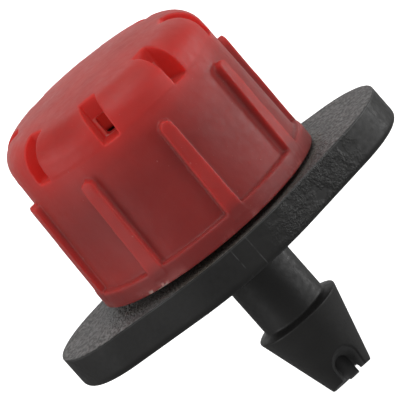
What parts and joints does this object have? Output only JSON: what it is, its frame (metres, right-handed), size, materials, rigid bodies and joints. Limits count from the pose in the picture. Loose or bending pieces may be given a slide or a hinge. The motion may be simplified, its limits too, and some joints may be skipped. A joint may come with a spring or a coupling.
{
  "type": "drip emitter",
  "caption": "Adjustable drip emitter: red screw cap with outlets round its shoulder on a black long-flanged base with a push-in barb.",
  "frame": {"origin": "on the screw axis, in the plane of the flange's underside, where the push-in barb starts", "axes": "+Z along the screw axis from the barb to the cap; +X along the flange's long way; +Y across it, away from the tip's arched notch"},
  "size_m": [0.0228, 0.015, 0.0234],
  "materials": {
    "black_plastic": "moulded black polypropylene, satin sides, finely pitted top face",
    "red_plastic": "moulded red polyethylene, slightly translucent, satin",
    "grey_rubber": "soft dark grey rubber"
  },
  "bodies": {
    "base": {"barbed_base": "black_plastic"},
    "washer_carrier": {"shutoff_washer": "grey_rubber"},
    "cap": {"outlet_cap": "red_plastic"}
  },
  "joints": [
    {"name": "cap_lift", "type": "slide", "parent": "base", "child": "washer_carrier", "axis": [0, 0, 1], "range_m": [0, 0.003]},
    {"name": "cap_turn", "type": "hinge", "parent": "washer_carrier", "child": "cap", "pos_m": [0, 0, 0.008], "axis": [0, 0, 1], "range_deg": [0, 540]}
  ],
  "couplings": [
    {"joint": "cap_turn", "follows": "cap_lift", "rad_per_m": 3141.6}
  ]
}
